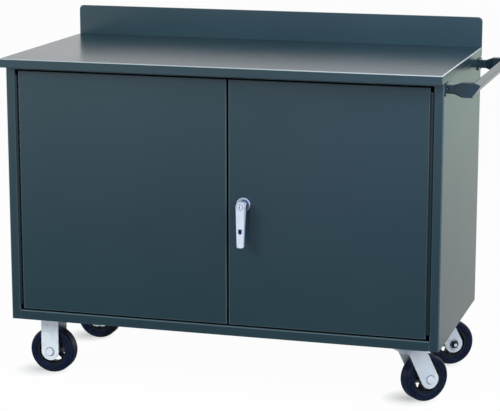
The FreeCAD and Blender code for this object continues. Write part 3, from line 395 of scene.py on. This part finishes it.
def floor(wheels):
    """Pale floor: nearly white, with a soft shadow by each wheel, and dim in the doors' reflections.

    In reflections it is cool in front of the bench, but for the far left, and greenish on the bench's right.
    """
    bpy.ops.object.select_all(action="DESELECT")
    bpy.ops.mesh.primitive_plane_add(size=2 * floor_half_width, location=(0, 0, 0))
    slab = bpy.context.object
    slab.name = "studio_floor"
    material, tree, _, place = new_material("pale_floor")
    tree.nodes.remove(tree.nodes["Principled BSDF"])
    ray = add(tree, "LightPath").node.outputs
    along = add(tree, "SeparateXYZ", (place,)).node.outputs

    shown = ray["Is Camera Ray"]
    for x, y, _ in wheels:
        away = add(tree, "VectorMath", (place, (x - shadow_lead, y, 0)), "Value", operation="DISTANCE")
        lit = add(tree, "MapRange", (away, *shadow_fade))
        shown = add(tree, "Math", (shown, lit), operation="MINIMUM")

    aside = add(tree, "Math", (along["X"], front_gloss_left), operation="ADD")
    aside = add(tree, "Math", (aside,), operation="ABSOLUTE")
    sides = add(tree, "MapRange", (aside, *front_gloss_sides))
    front = add(tree, "MapRange", (along["Y"], *front_gloss))
    front = add(tree, "Math", (front, sides), operation="MULTIPLY")
    behind = add(tree, "MapRange", (along["Y"], *back_gloss))
    start = add(tree, "MapRange", (along["Y"], *back_start))
    behind = add(tree, "Math", (behind, start), operation="MULTIPLY")
    bright = add(tree, "Math", (front, behind), operation="MAXIMUM")
    glossy = add(tree, "Math", (ray["Is Glossy Ray"], bright), operation="MULTIPLY")

    ahead = add(tree, "Math", (along["Y"], 0.0), operation="LESS_THAN")
    ahead = add(tree, "Math", (ray["Is Glossy Ray"], ahead), operation="MULTIPLY")
    cool = add(tree, "MapRange", (along["X"], *cool_share))
    cool = add(tree, "Math", (ahead, cool), operation="MULTIPLY")
    colour = add(tree, "Mix", {0: cool, 6: linear(studio_white), 7: linear(sky_blue)}, 2, data_type="RGBA")
    card = add(tree, "MapRange", (along["X"], *card_share))
    card = add(tree, "Math", (ray["Is Glossy Ray"], card), operation="MULTIPLY")
    colour = add(tree, "Mix", {0: card, 6: colour, 7: linear(side_card)}, 2, data_type="RGBA")

    matt = add(tree, "BsdfDiffuse", {"Color": floor_grey})
    dark = add(tree, "MixShader", (ray["Is Glossy Ray"], matt))
    glow = add(tree, "Emission", {"Color": colour})
    factor = add(tree, "Math", (shown, glossy), operation="MAXIMUM")
    mix = add(tree, "MixShader", (factor, dark, glow))
    tree.links.new(tree.nodes["Material Output"].inputs["Surface"], mix)
    slab.data.materials.append(material)


def faced(thing, place, ahead):
    """Puts a lamp or the camera at a place, facing along a direction."""
    holder = bpy.data.objects.new(thing.name, thing)
    bpy.context.collection.objects.link(holder)
    holder.location = place
    holder.rotation_euler = ahead.to_track_quat("-Z", "Y").to_euler()
    return holder


def lights():
    """Soft boxes to the right, by the upper right corner, to the left and overhead."""
    for name, place, aim, side, power, colour, shown in lamps:
        lamp = bpy.data.lights.new(name, "AREA")
        lamp.shape = "SQUARE"
        lamp.size = side
        lamp.energy = power
        lamp.color = colour
        faced(lamp, place, Vector(aim) - Vector(place)).visible_glossy = shown


def camera():
    """Camera at the photograph's viewing angle."""
    lens = bpy.data.cameras.new("camera")
    lens.sensor_width = sensor_width_mm
    lens.lens = focal_px / image_width_px * sensor_width_mm
    level = math.cos(camera_pitch)
    sideways, onwards = -math.sin(camera_yaw) * level, math.cos(camera_yaw) * level
    ahead = Vector((sideways, onwards, -math.sin(camera_pitch)))
    bpy.context.scene.camera = faced(lens, camera_place, ahead)


def dress(joints):
    """Gives every piece the finish of its slot, or one of its own."""
    finishes = {
        "charcoal_enamel": baked_enamel("baked_enamel", charcoal, charcoal_faded, paint_edge_mm),
        "handle_enamel": baked_enamel("handle_enamel", handle_dark, handle_faded, 0),
        # painted shade: the hinge is darker than the doors
        "hinge_enamel": baked_enamel("hinge_enamel", hinge_shaded_dark, hinge_shaded_pale, 0),
        "zinc_plate": bright_zinc("bright_zinc_plate"),
        "chrome_plate": polished_chrome(),
        "cast_core": grained("painted_casting", core_black, core_dusty, cast_grain_mm, casting_gloss),
        "guide_plastic": grained("moulded_nylon", nylon_black, nylon_worn, nylon_grain_mm, nylon_gloss),
    }
    # black as painted shade: on the door catch seen in its gap, and on the rear swivel axle
    shade_black = (core_black, core_dusty, zinc_grain_mm, shade_black_gloss)
    lever_finish = lever_painted_reflection(joints["lever_turn"]["pos_m"])
    special = {
        # the worktop's pale rolled edges are a painted highlight
        "worktop": baked_enamel("worktop_enamel", charcoal, charcoal_faded, paint_edge_mm, True),
        # the upright plate is painted paler than the top: painted light that it catches
        "backsplash": baked_enamel("backsplash_enamel", splash_lit_deep, splash_lit_pale, paint_edge_mm),
        "door_catch": grained("door_catch_painted_shade", *shade_black),
        "swivel_rear_axle": grained("rear_axle_painted_shade", *shade_black, joints["swivel_rear_spin"]),
        "lock_lever": lever_finish,
        "lock_plug": lever_finish,
    }
    for caster in ("rigid_front", "rigid_rear", "swivel_front", "swivel_rear"):
        spin = joints[caster + "_spin"]
        special[caster + "_tyre"] = moulded_rubber("moulded_rubber_" + caster, spin)
        special[caster + "_fork"] = bright_zinc("bright_zinc_plate_" + caster, spin)
    for entry in frame["record"]["subparts"]:
        node = entry["node"]
        finish = special[node] if node in special else finishes[entry["material_slot"]]
        for material_slot in frame["nodes"][node].material_slots:
            material_slot.material = finish


bpy.context.scene.view_settings.view_transform = "Standard"
bench_joints = {joint["name"]: joint for joint in frame["record"]["behaviour"]["joints"]}
dress(bench_joints)
world()
floor([joint["pos_m"] for name, joint in bench_joints.items() if name.endswith("_spin")])
lights()
camera()
